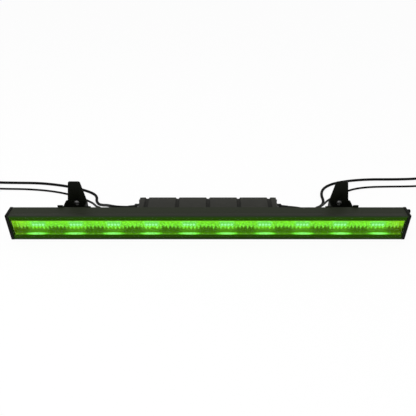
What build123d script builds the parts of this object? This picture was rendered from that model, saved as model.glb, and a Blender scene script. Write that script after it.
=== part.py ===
from build123d import *
import math
import os

os.makedirs("parts", exist_ok=True)

# LED wall-wash bar, millimetres.  X runs along the bar, the light leaves towards -Y, Z is up.
# The origin is under the middle of the fixture, on the surface that it stands on.

# ---------------------------------------------------------------- driving dimensions
bar_length = 1000.0  # over both end caps
body_height = 72.0  # extruded profile, top to bottom
body_depth = 40.0  # front of the glass rails to the back wall
driver_depth = 48.0  # power supply case, front to back
driver_length = 346.0  # case without its end plates
wall = 3.0  # housing wall behind the glass seat
back_wall = 6.0  # housing back wall, the heat spreader
cap_thickness = 6.0
cap_overhang = 1.5  # caps stand proud above, below and behind the profile
cap_gasket = 1.5
fit = 0.2  # general clearance between pieces that slip together

# glass stack, front to back
lip_thickness = 2.0
lip_height = 4.0
glass_thickness = 4.0
mask_thickness = 0.5
seal_thickness = 1.5
rail_depth = 13.0
rail_side = 2.8
rail_chamfer = 0.6
mask_top = 12.7  # height of the black border above the window
mask_bottom = 8.9  # and below it

# light engine
sheet = 1.0  # reflector sheet
reflector_depth = 23.0
reflector_gap = 2.0  # at each end
board_thickness = 1.6
board_height = 38.0
board_gap = 1.0  # between the two boards
module_count = 10
module_pitch = 96.6
module_width = 33.0
module_height = 12.0
module_thickness = 2.2
module_rise = 15.1  # optical line above the reflector floor
dome_radius = 3.4
dome_pitch = 8.0
domes_per_module = 4

# hanging brackets
bracket_offset = 338.5  # bar centre to bracket centre
bracket_sheet = 3.0
bracket_width = 55.8  # over both ears
bracket_standoff = 31.0  # back wall to the back of the web
bracket_height = 62.0
foot_width = 14.0
tab_rise = 3.3  # the outer foot stands above the bracket
tab_corner = 1.5
foot_screw_inset = 7.0  # top screw row below the bracket's top
arm_thickness = 3.0
arm_top_width = 31.0
arm_corner = 5.0
arm_hub = 25.0  # radius of the round lower end
arm_reach = 60.2  # pivot to the top edge
pivot_drop = 4.5  # pivot below the top of the profile
pivot_radius = 4.0
running = 0.05  # radial clearance of the arm on its pivot
screw_play = 0.3  # radial clearance of a screw in a clearance hole
boss_radius = 9.0
boss_length = 12.0
boss_reach = 43.0  # pivot to the threaded boss
boss_drill = 4.25  # M10 tapping hole

# leads
power_lead = 8.0
data_lead = 6.0

# ---------------------------------------------------------------- derived places
front_y = -(body_depth + driver_depth) / 2
rear_y = front_y + body_depth
back_y = rear_y + driver_depth
bottom_z = cap_overhang
top_z = bottom_z + body_height
mid_z = (bottom_z + top_z) / 2

glass_front_y = front_y + lip_thickness
mask_front_y = glass_front_y + glass_thickness
seal_front_y = mask_front_y + mask_thickness
seat_y = seal_front_y + seal_thickness
rail_rear_y = front_y + rail_depth
inner_y = rear_y - back_wall

tongue_top = top_z - rail_side - fit
tongue_bottom = bottom_z + rail_side + fit
cavity_top = tongue_top - wall
cavity_bottom = tongue_bottom + wall
housing_length = bar_length - 2 * (cap_thickness + cap_gasket)
housing_end = housing_length / 2
glass_top = tongue_top - fit
glass_bottom = tongue_bottom + fit
window_top = glass_top - mask_top
window_bottom = glass_bottom + mask_bottom
module_z = window_bottom + module_rise


def save(piece, name):
    """Label a finished piece and write its STEP file."""
    piece.part.label = name
    export_step(piece.part, f"parts/{name}.step")


def section(points, start):
    """A closed outline in the Y-Z plane at X = start, ready to be pushed along the bar."""
    with BuildSketch(Plane.YZ.offset(start)) as outline:
        with BuildLine():
            Polyline(*points, close=True)
        make_face()
    return outline.sketch


# ---------------------------------------------------------------- housing
screw_port = 1.8
port_depth = 25.0
cap_screw_places = [
    (rail_rear_y + 7.0, top_z - wall),
    (rail_rear_y + 7.0, bottom_z + wall),
    (rear_y - back_wall / 2, top_z - 16.5),
    (rear_y - back_wall / 2, bottom_z + 16.5),
]
groove_count = 5
groove_pitch = 6.0
groove_width = 2.0
groove_depth = 2.5
snap_y = seat_y + 2.5
snap_size = 0.8
data_gland_offset = 278.0
data_gland_z = 46.0
data_stem = 6.0
feed_hole = 5.0  # driver leads pass from the case into the housing
feed_offset = 60.0
bracket_rise = 1.7  # bracket stands proud of the profile
bracket_top = top_z + bracket_rise
screw_rows = (bracket_top - foot_screw_inset, bracket_top - bracket_height + foot_screw_inset)
foot_screw_column = (bracket_width + foot_width) / 2 - 0.4
screw_columns = (-foot_screw_column, foot_screw_column)
foot_screw = 2.9
screw_tip_gap = 0.5  # a blind end stops short of the cavity

with BuildPart() as housing:
    outline = section(
        [
            (seat_y, tongue_top),
            (rail_rear_y, tongue_top),
            (rail_rear_y, top_z),
            (rear_y, top_z),
            (rear_y, bottom_z),
            (rail_rear_y, bottom_z),
            (rail_rear_y, tongue_bottom),
            (seat_y, tongue_bottom),
            (seat_y, cavity_bottom),
            (inner_y, cavity_bottom),
            (inner_y, cavity_top),
            (seat_y, cavity_top),
        ],
        -housing_end,
    )
    extrude(outline, amount=housing_length)
    # snap grooves for the two glass rails
    for z in (tongue_top, tongue_bottom):
        with Locations((0, snap_y, z)):
            Box(housing_length, 2 * snap_size, 2 * snap_size, mode=Mode.SUBTRACT)
    # cooling grooves along the back
    groove_places = [mid_z + (i - (groove_count - 1) / 2) * groove_pitch for i in range(groove_count)]
    with Locations(*[(0, rear_y, z) for z in groove_places]):
        Box(housing_length, 2 * groove_depth, groove_width, mode=Mode.SUBTRACT)
    # end cap screw ports, bracket screw holes, gland and driver feed holes
    for side in (-1, 1):
        with BuildSketch(Plane.YZ.offset(side * housing_end)):
            with Locations(*cap_screw_places):
                Circle(screw_port)
        extrude(amount=-side * port_depth, mode=Mode.SUBTRACT)
        with BuildSketch(Plane.XZ.offset(-rear_y)):
            with Locations(*[(side * bracket_offset + x, z) for x in screw_columns for z in screw_rows]):
                Circle(foot_screw + running)
            with Locations((side * data_gland_offset, data_gland_z)):
                Circle(data_stem + running)
            with Locations((side * feed_offset, data_gland_z)):
                Circle(feed_hole)
        extrude(amount=back_wall, mode=Mode.SUBTRACT)
save(housing, "housing")

# ---------------------------------------------------------------- glass rails, glass and seals
for name, edge, inward in (("top_rail", top_z, -1), ("bottom_rail", bottom_z, 1)):
    with BuildPart() as rail:
        side_z = edge + inward * rail_side
        bead = snap_size - fit
        outline = section(
            [
                (front_y, edge),
                (rail_rear_y, edge),
                (rail_rear_y, side_z),
                (snap_y + bead, side_z),
                (snap_y + bead / 2, side_z + inward * (fit + bead / 2)),
                (snap_y - bead / 2, side_z + inward * (fit + bead / 2)),
                (snap_y - bead, side_z),
                (glass_front_y, side_z),
                (glass_front_y, edge + inward * lip_height),
                (front_y, edge + inward * lip_height),
            ],
            -housing_end,
        )
        extrude(outline, amount=housing_length)
        nose = rail.edges().filter_by(Axis.X).group_by(Axis.Y)[0]
        chamfer(nose, rail_chamfer)
    save(rail, name)

glass_height = glass_top - glass_bottom
glass_z = (glass_top + glass_bottom) / 2
with BuildPart() as front_glass:
    with Locations((0, (glass_front_y + mask_front_y) / 2, glass_z)):
        Box(housing_length, glass_thickness, glass_height)
save(front_glass, "front_glass")

mask_end = 1.0
with BuildPart() as window_mask:
    with BuildSketch(Plane.XZ.offset(-mask_front_y)):
        with Locations((0, glass_z)):
            Rectangle(housing_length, glass_height)
        with Locations((0, (window_top + window_bottom) / 2)):
            Rectangle(housing_length - 2 * mask_end, window_top - window_bottom, mode=Mode.SUBTRACT)
    extrude(amount=-mask_thickness)
save(window_mask, "window_mask")

with BuildPart() as glass_seal:
    with BuildSketch(Plane.XZ.offset(-seal_front_y)):
        with Locations((0, glass_z)):
            Rectangle(housing_length, glass_height)
        with Locations((0, (cavity_top + cavity_bottom) / 2)):
            Rectangle(housing_length - 2 * wall, cavity_top - cavity_bottom, mode=Mode.SUBTRACT)
    extrude(amount=-seal_thickness)
save(glass_seal, "glass_seal")

# ---------------------------------------------------------------- reflector trough
reflector_length = housing_length - 2 * reflector_gap
trough_front = seat_y + fit
trough_back = trough_front + reflector_depth
with BuildPart() as reflector:
    outline = section(
        [
            (trough_front, cavity_top - fit),
            (trough_front + sheet, cavity_top - fit),
            (trough_front + sheet, window_top + sheet),
            (trough_back, window_top + sheet),
            (trough_back, window_bottom - sheet),
            (trough_front + sheet, window_bottom - sheet),
            (trough_front + sheet, cavity_bottom + fit),
            (trough_front, cavity_bottom + fit),
            (trough_front, window_bottom),
            (trough_back - sheet, window_bottom),
            (trough_back - sheet, window_top),
            (trough_front, window_top),
        ],
        -reflector_length / 2,
    )
    extrude(outline, amount=reflector_length)
    module_places = [(i - (module_count - 1) / 2) * module_pitch for i in range(module_count)]
    with Locations(*[(x, trough_back - sheet / 2, module_z) for x in module_places]):
        Box(module_width + 3 * fit, 2 * sheet, module_height + 3 * fit, mode=Mode.SUBTRACT)
save(reflector, "reflector")

# ---------------------------------------------------------------- light engine
board_y = inner_y - board_thickness / 2
board_length = reflector_length / 2 - board_gap
board_z = window_bottom + board_height / 2
for name, side in (("led_board_left", -1), ("led_board_right", 1)):
    with BuildPart() as board:
        with Locations((side * (board_length + board_gap) / 2, board_y, board_z)):
            Box(board_length, board_thickness, board_height)
    save(board, name)

module_back = inner_y - board_thickness
for number, x in enumerate(module_places, 1):
    with BuildPart() as module:
        with Locations((x, module_back - module_thickness / 2, module_z)):
            Box(module_width, module_thickness, module_height)
        with Locations(
            *[
                (x + (i - (domes_per_module - 1) / 2) * dome_pitch, module_back - module_thickness, module_z)
                for i in range(domes_per_module)
            ]
        ):
            Sphere(dome_radius)
        split(bisect_by=Plane.XZ.offset(-module_back), keep=Keep.TOP)
    save(module, f"led_module_{number:02d}")

# ---------------------------------------------------------------- end caps
cap_front = front_y
cap_rear = rear_y + cap_overhang
cap_bottom = bottom_z - cap_overhang
cap_top = top_z + cap_overhang
cap_corner = 3.0
cap_pocket = 2.5
cap_edge = 1.2
vent_stem = 1.4
vent_y = inner_y - 1.0
vent_z = cavity_top - vent_stem - 0.1
vent_head = 5.6
vent_height = 9.5
vent_chamfer = 1.0
cap_screw_hole = 2.15
sink_radius = 3.6  # countersink in the cap
sink_depth = 1.9
screw_head = 3.3
screw_head_depth = 1.6
screw_below = 0.3  # heads sit this far below the cap
screw_length = 20.0
hex_key = 1.5
hex_key_depth = 1.4
for name, side in (("left", -1), ("right", 1)):
    cap_in = side * (housing_end + cap_gasket)
    cap_out = side * bar_length / 2
    with BuildPart() as gasket:
        with BuildSketch(Plane.YZ.offset(side * housing_end)):
            with Locations(((front_y + rear_y) / 2, mid_z)):
                Rectangle(body_depth, body_height)
            with Locations(((seat_y + inner_y) / 2, mid_z)):
                Rectangle(inner_y - seat_y, cavity_top - cavity_bottom, mode=Mode.SUBTRACT)
            with Locations(*cap_screw_places):
                Circle(screw_port, mode=Mode.SUBTRACT)
        extrude(amount=side * cap_gasket)
    save(gasket, f"{name}_cap_gasket")

    with BuildPart() as cap:
        with BuildSketch(Plane.YZ.offset(cap_in)):
            with Locations(((cap_front + cap_rear) / 2, (cap_top + cap_bottom) / 2)):
                RectangleRounded(cap_rear - cap_front, cap_top - cap_bottom, cap_corner)
        extrude(amount=side * cap_thickness)
        outer_edges = cap.faces().sort_by(Axis.X)[-1 if side > 0 else 0].edges()
        fillet(outer_edges, cap_edge)
        with BuildSketch(Plane.YZ.offset(cap_in)):
            with Locations(((seat_y + inner_y) / 2, mid_z)):
                Rectangle(inner_y - seat_y, cavity_top - cavity_bottom)
        extrude(amount=side * cap_pocket, mode=Mode.SUBTRACT)
        with BuildSketch(Plane.YZ.offset(cap_in)):
            with Locations(*cap_screw_places):
                Circle(cap_screw_hole)
            if side > 0:
                with Locations((vent_y, vent_z)):
                    Circle(vent_stem + running)
        extrude(amount=side * cap_thickness, mode=Mode.SUBTRACT)
        for y, z in cap_screw_places:
            with BuildSketch(Plane.YZ.offset(cap_out)):
                with Locations((y, z)):
                    Circle(sink_radius + running)
            extrude(amount=-side * sink_depth, taper=45, mode=Mode.SUBTRACT)
    save(cap, f"{name}_end_cap")

    with BuildPart() as cap_screws:
        head_plane = Plane.YZ.offset(cap_out - side * screw_below)
        for y, z in cap_screw_places:
            with BuildSketch(head_plane):
                with Locations((y, z)):
                    Circle(screw_head)
            extrude(amount=-side * screw_head_depth, taper=45)
            with BuildSketch(head_plane):
                with Locations((y, z)):
                    Circle(screw_port - running)
            extrude(amount=-side * screw_length)
            with BuildSketch(head_plane):
                with Locations((y, z)):
                    RegularPolygon(hex_key, 6)
            extrude(amount=-side * hex_key_depth, mode=Mode.SUBTRACT)
    save(cap_screws, f"{name}_cap_screws")

with BuildPart() as breather_vent:
    with BuildSketch(Plane.YZ.offset(bar_length / 2)):
        with Locations((vent_y, vent_z)):
            Circle(vent_head)
    extrude(amount=vent_height)
    chamfer(breather_vent.faces().sort_by(Axis.X)[-1].edges(), vent_chamfer)
    with BuildSketch(Plane.YZ.offset(bar_length / 2)):
        with Locations((vent_y, vent_z)):
            Circle(vent_stem)
    extrude(amount=-cap_thickness)
save(breather_vent, "breather_vent")

# ---------------------------------------------------------------- power supply case
case_wall = 5.0
case_bottom = cap_bottom
case_height = top_z - case_bottom
case_mid_z = (top_z + case_bottom) / 2
case_mid_y = rear_y + driver_depth / 2
case_end = driver_length / 2
rib_groove_pitch = 79.0
rib_groove_width = 11.0  # at the surface
rib_groove_floor = 5.0
rib_groove_depth = 3.0
rib_groove_count = 5
end_plate = 4.0
shelf = 3.0
shelf_z = case_bottom + 18.0
case_port = 1.8
case_screw_head = 3.0
case_screw_inset = 9.0
case_screw_top = top_z - rib_groove_depth - 2.5
case_edge = 3.0
case_screw_head_height = 2.4
case_screw_length = 18.0
case_screw_bottom = case_bottom + case_screw_head + 0.1
case_screw_places = [
    (y, z)
    for y in (rear_y + case_screw_inset, back_y - case_screw_inset)
    for z in (case_screw_top, case_screw_bottom)
]
with BuildPart() as driver_case:
    with Locations((0, case_mid_y, case_mid_z)):
        Box(driver_length, driver_depth, case_height)
    long_edges = driver_case.edges().filter_by(Axis.X).sort_by(Axis.Y)[-2:]
    fillet(long_edges, case_edge)
    # five cooling grooves cross the top and run down the back
    for i in range(rib_groove_count):
        x = (i - (rib_groove_count - 1) / 2) * rib_groove_pitch
        for plane, edge, amount in (
            (Plane.XZ.offset(-rear_y), top_z, -driver_depth),
            (Plane.XY.offset(case_bottom), back_y, case_height),
        ):
            with BuildSketch(plane):
                with BuildLine():
                    Polyline(
                        (x - rib_groove_width / 2, edge),
                        (x - rib_groove_floor / 2, edge - rib_groove_depth),
                        (x + rib_groove_floor / 2, edge - rib_groove_depth),
                        (x + rib_groove_width / 2, edge),
                        close=True,
                    )
                make_face()
            extrude(amount=amount, mode=Mode.SUBTRACT)
    room_front = rear_y + case_wall
    room_back = back_y - case_wall - rib_groove_depth
    room_top = top_z - case_wall - rib_groove_depth
    room_bottom = case_bottom + case_wall
    with Locations((0, (room_front + room_back) / 2, (room_top + room_bottom) / 2)):
        Box(driver_length, room_back - room_front, room_top - room_bottom, mode=Mode.SUBTRACT)
    # two shelves carry the circuit board
    for y in (room_front + shelf / 2, room_back - shelf / 2):
        with Locations((0, y, shelf_z - shelf / 2)):
            Box(driver_length, shelf, shelf)
    for side in (-1, 1):
        with BuildSketch(Plane.YZ.offset(side * case_end)):
            with Locations(*case_screw_places):
                Circle(case_port)
        extrude(amount=-side * port_depth, mode=Mode.SUBTRACT)
        with BuildSketch(Plane.XZ.offset(-rear_y)):
            with Locations((side * feed_offset, data_gland_z)):
                Circle(feed_hole)
        extrude(amount=-case_wall, mode=Mode.SUBTRACT)
save(driver_case, "driver_case")

gland_y = rear_y + 25.0
gland_z = top_z - 17.0
power_stem = 8.0
plate_foot = 16.0
plate_foot_sheet = 3.0
plate_foot_height = 56.0
plate_screw_drop = 18.0
plate_inset = 0.2  # the end plates are this much smaller than the case all round
plate_screw = 2.1
plate_screw_head = 3.6
plate_screw_height = 3.0
plate_screw_z = (case_mid_z + plate_screw_drop, case_mid_z - plate_screw_drop)
for name, side in (("left", -1), ("right", 1)):
    plate_out = side * (case_end + end_plate)
    foot_mid = plate_out + side * plate_foot / 2
    with BuildPart() as end:
        with BuildSketch(Plane.YZ.offset(side * case_end)):
            with Locations((case_mid_y, case_mid_z)):
                RectangleRounded(driver_depth - 2 * plate_inset, case_height - 2 * plate_inset, case_edge)
            with Locations(*case_screw_places):
                Circle(case_port + screw_play, mode=Mode.SUBTRACT)
            with Locations((gland_y, gland_z)):
                Circle(power_stem + running, mode=Mode.SUBTRACT)
        extrude(amount=side * end_plate)
        # foot that bolts the supply to the back of the housing
        with Locations((foot_mid, rear_y + plate_foot_sheet / 2, case_mid_z)):
            Box(plate_foot, plate_foot_sheet, plate_foot_height)
        with BuildSketch(Plane.XZ.offset(-rear_y)):
            with Locations(*[(foot_mid, z) for z in plate_screw_z]):
                Circle(plate_screw + running)
        extrude(amount=-plate_foot_sheet, mode=Mode.SUBTRACT)
    save(end, f"driver_end_{name}")

with BuildPart() as driver_screws:
    for side in (-1, 1):
        plate_out = side * (case_end + end_plate)
        for y, z in case_screw_places:
            with BuildSketch(Plane.YZ.offset(plate_out)):
                with Locations((y, z)):
                    Circle(case_screw_head)
            extrude(amount=side * case_screw_head_height)
            with BuildSketch(Plane.YZ.offset(plate_out)):
                with Locations((y, z)):
                    Circle(case_port - running)
            extrude(amount=-side * case_screw_length)
            with BuildSketch(Plane.YZ.offset(plate_out + side * case_screw_head_height)):
                with Locations((y, z)):
                    RegularPolygon(hex_key, 6)
            extrude(amount=-side * hex_key_depth, mode=Mode.SUBTRACT)
save(driver_screws, "driver_screws")

with BuildPart() as foot_screws:
    for side in (-1, 1):
        for z in plate_screw_z:
            x = side * (case_end + end_plate + plate_foot / 2)
            with BuildSketch(Plane.XZ.offset(-(rear_y + plate_foot_sheet))):
                with Locations((x, z)):
                    Circle(plate_screw_head)
            extrude(amount=-plate_screw_height)
            with BuildSketch(Plane.XZ.offset(-(rear_y + plate_foot_sheet))):
                with Locations((x, z)):
                    Circle(plate_screw)
            extrude(amount=plate_foot_sheet)
save(foot_screws, "driver_foot_screws")

circuit_margin = 10.0
circuit_length = driver_length - 2 * circuit_margin
circuit_y = (room_front + room_back) / 2
with BuildPart() as driver_board:
    with Locations((0, circuit_y, shelf_z + board_thickness / 2)):
        Box(circuit_length, room_back - room_front - 2 * fit, board_thickness)
save(driver_board, "driver_board")

part_base = shelf_z + board_thickness
core_x = -70.0
core_length = 34.0
core_depth = 24.0
core_height = 30.0
coil_length = 26.0
coil_depth = 28.0
coil_height = 22.0
coil_corner = 4.0
with BuildPart() as transformer:
    with Locations((core_x, circuit_y, part_base + core_height / 2)):
        Box(core_length, core_depth, core_height)
    with BuildSketch(Plane.YZ.offset(core_x - coil_length / 2)):
        with Locations((circuit_y, part_base + core_height / 2)):
            RectangleRounded(coil_depth, coil_height, coil_corner)
    extrude(amount=coil_length)
save(transformer, "driver_transformer")

can_radius = 9.0
can_height = 26.0
can_edge = 1.0
can_places = (20.0, 42.0, 64.0, 120.0)
with BuildPart() as capacitors:
    for x in can_places:
        with BuildSketch(Plane.XY.offset(part_base)):
            with Locations((x, circuit_y)):
                Circle(can_radius)
        extrude(amount=can_height)
    fillet(capacitors.edges().filter_by(GeomType.CIRCLE).group_by(Axis.Z)[-1], can_edge)
save(capacitors, "driver_capacitors")

# ---------------------------------------------------------------- hanging brackets
web_back_y = rear_y + bracket_standoff
web_front_y = web_back_y - bracket_sheet
pivot_z = top_z - pivot_drop
washer_thickness = 1.0
washer_radius = 9.5
arm_front_y = web_back_y + washer_thickness
arm_back_y = arm_front_y + arm_thickness
head_radius = 7.0
head_height = 4.6
nut_radius = 7.0
nut_height = 6.5
hex_head = 5.4
hex_height = 4.0
hat_corner = bracket_sheet + 1.0
head_dome = 3.4
bolt_tail = 1.0  # thread past the nut
for name, side in (("left", -1), ("right", 1)):
    centre = side * bracket_offset

    with BuildPart() as bracket:
        with BuildSketch(Plane.XY.offset(bracket_top)):
            with Locations((centre, (rear_y + web_back_y) / 2)):
                hat = Rectangle(bracket_width, bracket_standoff)
            fillet(hat.vertices().group_by(Axis.Y)[-1], hat_corner)
            with Locations((centre, (rear_y + web_front_y) / 2)):
                Rectangle(
                    bracket_width - 2 * bracket_sheet, web_front_y - rear_y, mode=Mode.SUBTRACT
                )
            with Locations(
                (centre + (bracket_width + foot_width) / 2 - bracket_sheet / 2, rear_y + bracket_sheet / 2),
                (centre - (bracket_width + foot_width) / 2 + bracket_sheet / 2, rear_y + bracket_sheet / 2),
            ):
                Rectangle(foot_width + bracket_sheet, bracket_sheet)
        extrude(amount=-bracket_height)
        # the outer foot ends in a tab above the bracket
        tab_x = centre + side * (bracket_width + foot_width) / 2
        with BuildSketch(Plane.XZ.offset(-rear_y)):
            with Locations((tab_x, bracket_top)):
                RectangleRounded(foot_width, 2 * tab_rise, tab_corner)
        extrude(amount=-bracket_sheet)
        with BuildSketch(Plane.XZ.offset(-rear_y)):
            with Locations(*[(centre + x, z) for x in screw_columns for z in screw_rows]):
                Circle(foot_screw + screw_play)
        extrude(amount=-bracket_sheet, mode=Mode.SUBTRACT)
        with BuildSketch(Plane.XZ.offset(-web_front_y)):
            with Locations((centre, pivot_z)):
                Circle(pivot_radius + running)
        extrude(amount=-bracket_sheet, mode=Mode.SUBTRACT)
    save(bracket, f"{name}_bracket")

    with BuildPart() as bracket_screws:
        for x in screw_columns:
            for z in screw_rows:
                with BuildSketch(Plane.XZ.offset(-(rear_y + bracket_sheet))):
                    with Locations((centre + x, z)):
                        RegularPolygon(hex_head, 6)
                extrude(amount=-hex_height)
                with BuildSketch(Plane.XZ.offset(-(rear_y + bracket_sheet))):
                    with Locations((centre + x, z)):
                        Circle(foot_screw)
                extrude(amount=bracket_sheet + back_wall - screw_tip_gap)
    save(bracket_screws, f"{name}_bracket_screws")

    with BuildPart() as arm:
        top_edge = pivot_z + arm_reach
        with BuildSketch(Plane.XZ.offset(-arm_front_y)):
            with BuildLine():
                CenterArc((centre, pivot_z), arm_hub, 0, 360)
                for corner in (-1, 1):
                    spot = (centre + corner * (arm_top_width / 2 - arm_corner), top_edge - arm_corner)
                    CenterArc(spot, arm_corner, 0, 360)
            make_hull()
            with Locations((centre, pivot_z)):
                Circle(pivot_radius + running, mode=Mode.SUBTRACT)
        extrude(amount=-arm_thickness)
        # threaded boss on the back for a hanging clamp
        with BuildSketch(Plane.XZ.offset(-arm_back_y)):
            with Locations((centre, pivot_z + boss_reach)):
                Circle(boss_radius)
                Circle(boss_drill, mode=Mode.SUBTRACT)
        extrude(amount=-boss_length)
    save(arm, f"{name}_arm")

    with BuildPart() as pivot_bolt:
        with BuildSketch(Plane.XZ.offset(-web_front_y)):
            with Locations((centre, pivot_z)):
                Circle(head_radius)
        extrude(amount=head_height)
        fillet(pivot_bolt.faces().sort_by(Axis.Y)[0].edges(), head_dome)
        with BuildSketch(Plane.XZ.offset(-web_front_y)):
            with Locations((centre, pivot_z)):
                Circle(pivot_radius)
        extrude(amount=-(arm_back_y + washer_thickness + nut_height + bolt_tail - web_front_y))
    save(pivot_bolt, f"{name}_pivot_bolt")

    with BuildPart() as washers:
        for y in (web_back_y, arm_back_y):
            with BuildSketch(Plane.XZ.offset(-y)):
                with Locations((centre, pivot_z)):
                    Circle(washer_radius)
                    Circle(pivot_radius + running, mode=Mode.SUBTRACT)
            extrude(amount=-washer_thickness)
    save(washers, f"{name}_pivot_washers")

    with BuildPart() as nut:
        with BuildSketch(Plane.XZ.offset(-(arm_back_y + washer_thickness))):
            with Locations((centre, pivot_z)):
                RegularPolygon(nut_radius, 6)
                Circle(pivot_radius + running, mode=Mode.SUBTRACT)
        extrude(amount=-nut_height)
    save(nut, f"{name}_pivot_nut")

# ---------------------------------------------------------------- cable glands
hex_grip = 10.5
hex_length = 6.0
gland_thread = 3.0  # stem past the end plate
gland_nut = 9.4
gland_nut_length = 7.0
gland_nut_edge = 1.8
gland_tail = 6.4  # radius where the tapering sleeve begins
sleeve_wall = 0.7
power_gland_length = 30.0
small_hex_grip = 9.0
small_hex_length = 5.0
small_nut = 7.6
small_nut_length = 6.0
small_nut_edge = 1.5
small_tail = 5.0
small_sleeve_wall = 0.6
data_gland_length = 23.0
for name, side in (("left", -1), ("right", 1)):
    plate_out = side * (case_end + end_plate)
    with BuildPart() as power_gland:
        with BuildSketch(Plane.YZ.offset(plate_out)):
            with Locations((gland_y, gland_z)):
                RegularPolygon(hex_grip, 6)
        extrude(amount=side * hex_length)
        with BuildSketch(Plane.YZ.offset(plate_out)):
            with Locations((gland_y, gland_z)):
                Circle(power_stem)
        extrude(amount=-side * (end_plate + gland_thread))
        with BuildSketch(Plane.YZ.offset(plate_out + side * hex_length)):
            with Locations((gland_y, gland_z)):
                Circle(gland_nut)
        extrude(amount=side * gland_nut_length)
        fillet(power_gland.faces().sort_by(Axis.X)[-1 if side > 0 else 0].edges(), gland_nut_edge)
        with BuildSketch(Plane.YZ.offset(plate_out + side * (hex_length + gland_nut_length))):
            with Locations((gland_y, gland_z)):
                Circle(gland_tail)
        with BuildSketch(Plane.YZ.offset(plate_out + side * power_gland_length)):
            with Locations((gland_y, gland_z)):
                Circle(power_lead / 2 + sleeve_wall)
        loft()
    save(power_gland, f"{name}_power_gland")

    data_x = side * data_gland_offset
    with BuildPart() as data_gland:
        with BuildSketch(Plane.XZ.offset(-rear_y)):
            with Locations((data_x, data_gland_z)):
                RegularPolygon(small_hex_grip, 6)
        extrude(amount=-small_hex_length)
        with BuildSketch(Plane.XZ.offset(-rear_y)):
            with Locations((data_x, data_gland_z)):
                Circle(data_stem)
        extrude(amount=back_wall - screw_tip_gap)
        with BuildSketch(Plane.XZ.offset(-(rear_y + small_hex_length))):
            with Locations((data_x, data_gland_z)):
                Circle(small_nut)
        extrude(amount=-small_nut_length)
        fillet(data_gland.faces().sort_by(Axis.Y)[-1].edges(), small_nut_edge)
        with BuildSketch(Plane.XZ.offset(-(rear_y + small_hex_length + small_nut_length))):
            with Locations((data_x, data_gland_z)):
                Circle(small_tail)
        with BuildSketch(Plane.XZ.offset(-(rear_y + data_gland_length))):
            with Locations((data_x, data_gland_z)):
                Circle(data_lead / 2 + small_sleeve_wall)
        loft()
    save(data_gland, f"{name}_data_gland")

# ---------------------------------------------------------------- leads and their connectors
power_floor = power_lead / 2
data_floor = data_lead / 2
power_exit = case_end + end_plate + power_gland_length
power_plug_z = 11.0
data_plug_z = 8.5
data_exit_y = rear_y + data_gland_length

left_power_route = [
    (-power_exit, gland_y, gland_z),
    (-232, gland_y + 1.5, gland_z - 1.0),
    (-256, 38, 49),
    (-274, 67, 32),
    (-292, 94, 14),
    (-309, 113, power_floor),
    (-319, 130, power_floor),
    (-321, 149, power_floor),
    (-332, 167, power_floor),
    (-357, 184, power_floor),
    (-394, 201, power_floor),
    (-446, 217.5, power_floor),
    (-511, 229.5, power_floor),
    (-575, 231, power_floor),
    (-636, 232.5, power_floor),
    (-668, 233, 7.5),
    (-700, 233, power_plug_z),
]
left_data_route = [
    (-data_gland_offset, data_exit_y, data_gland_z),
    (-282, 36, 44.5),
    (-301, 59, 33),
    (-316, 93, 19),
    (-337, 122, 8),
    (-361, 145, data_floor),
    (-394, 161.5, data_floor),
    (-436, 178, data_floor),
    (-487, 190, data_floor),
    (-548, 197, data_floor),
    (-610, 198, data_floor),
    (-650, 198.5, data_floor + 2.0),
    (-678, 198, data_plug_z),
]
right_power_route = [
    (power_exit, gland_y, gland_z),
    (232, gland_y + 1.5, gland_z - 3.0),
    (256, 35, 39),
    (284, 62, 20),
    (309, 92, 8),
    (325, 114, power_floor),
    (331, 134, power_floor),
    (330, 159, power_floor),
    (338, 188, power_floor),
    (356, 211, power_floor),
    (386, 229.5, power_floor),
    (436, 244.5, power_floor),
    (498, 252, power_floor),
    (560, 251.5, power_floor),
    (630, 254, power_floor),
    (662, 254.5, 7.5),
    (694, 254, power_plug_z),
]
right_data_route = [
    (data_gland_offset, data_exit_y, data_gland_z),
    (282, 36, 44.5),
    (305, 61, 33),
    (323, 96, 17),
    (339, 125, 8),
    (359, 149, data_floor),
    (391, 172, data_floor),
    (432, 197, data_floor),
    (481, 208.5, data_floor),
    (545, 211, data_floor),
    (607, 212, data_floor),
    (648, 213, data_floor + 2.0),
    (676, 213, data_plug_z),
]


def bends(route):
    """The largest arc that fits each corner of a route."""
    points = [Vector(*p) for p in route]
    radii = []
    for before, here, after in zip(points, points[1:], points[2:]):
        into, out = here - before, after - here
        turn = math.radians(into.get_angle(out))
        radii.append(0.45 * min(into.length, out.length) / math.tan(turn / 2))
    return radii


leads = (
    ("left_power", left_power_route, power_lead),
    ("left_data", left_data_route, data_lead),
    ("right_power", right_power_route, power_lead),
    ("right_data", right_data_route, data_lead),
)
for name, route, diameter in leads:
    radii = bends(route)
    with BuildPart() as lead:
        with BuildLine() as path:
            FilletPolyline(*route, radius=radii)
        start = Vector(*route[0])
        with BuildSketch(Plane(start, z_dir=Vector(*route[1]) - start)):
            Circle(diameter / 2)
        sweep(path=path.line)
    length = path.wire().length
    print(name, "length", round(length), "tightest", round(min(radii)), "radii", [round(r) for r in radii])
    print("   volume", round(lead.part.volume), "expected", round(math.pi * diameter**2 / 4 * length))
    save(lead, f"{name}_lead")

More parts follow.
